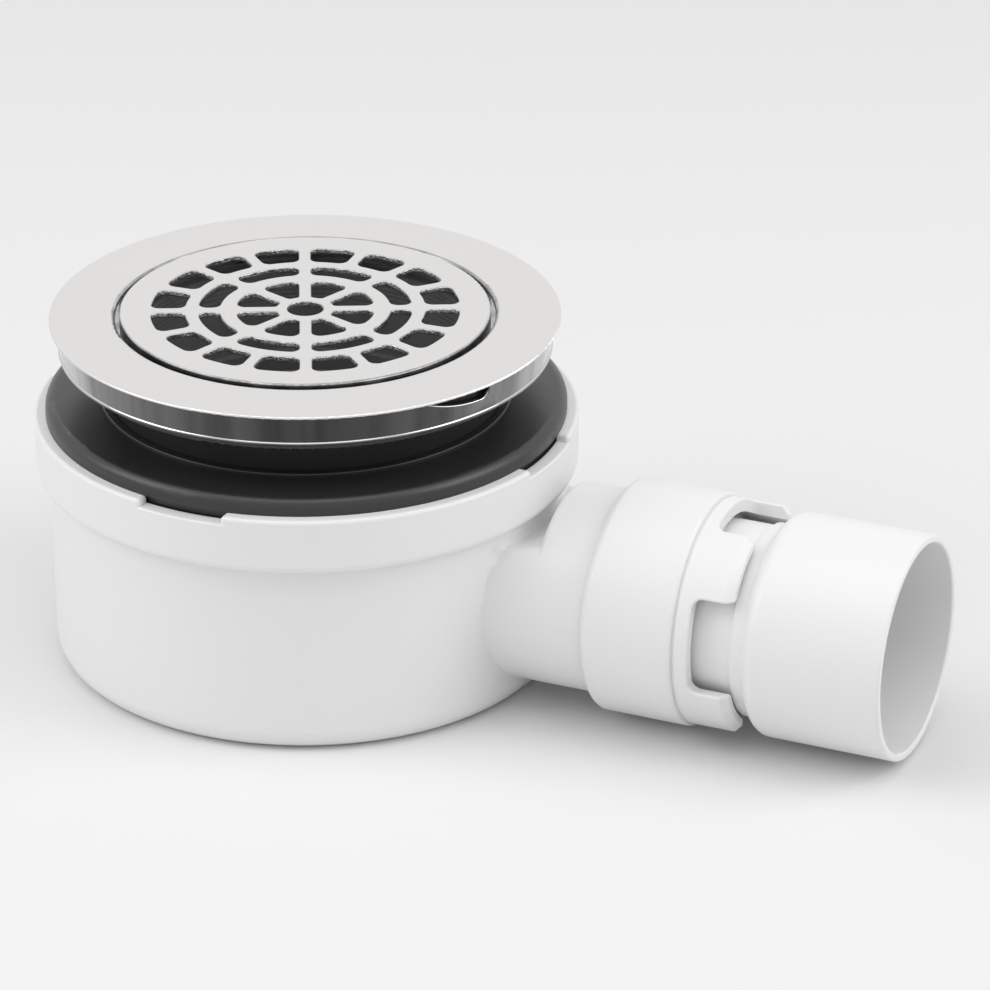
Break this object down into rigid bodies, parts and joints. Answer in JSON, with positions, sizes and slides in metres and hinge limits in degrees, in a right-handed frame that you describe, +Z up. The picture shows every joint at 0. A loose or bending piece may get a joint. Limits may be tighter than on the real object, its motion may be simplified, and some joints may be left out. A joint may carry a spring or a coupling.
{
  "type": "shower trap",
  "caption": "Shower tray trap: white bowl with a notched rim and side outlet, castellated coupling nut, rubber gaskets, steel flange and a lift-out pierced grid over a dip tube.",
  "frame": {"origin": "centre of the flat base, on the axis of the bowl", "axes": "+Z up along the bowl's axis to the grid, +X out along the outlet"},
  "size_m": [0.2064, 0.1216, 0.0811],
  "materials": {
    "white_plastic": "smooth moulded polypropylene with a soft sheen",
    "grey_plastic": "plain moulded",
    "black_plastic": "plain moulded",
    "black_rubber": "smooth moulded rubber",
    "satin_steel": "satin top with a polished skirt"
  },
  "bodies": {
    "root": {"trap_bowl": "white_plastic", "top_ring": "white_plastic", "coupling_nut": "white_plastic", "outlet_spigot": "white_plastic", "weir_cup": "grey_plastic", "dip_tube": "grey_plastic", "flange_carrier": "black_plastic", "slip_washer": "black_plastic", "body_gasket": "black_rubber", "flange_gasket": "black_rubber", "dip_tube_seal": "black_rubber", "outlet_seal": "black_rubber", "waste_flange": "satin_steel", "grid": "satin_steel"}
  },
  "joints": []
}
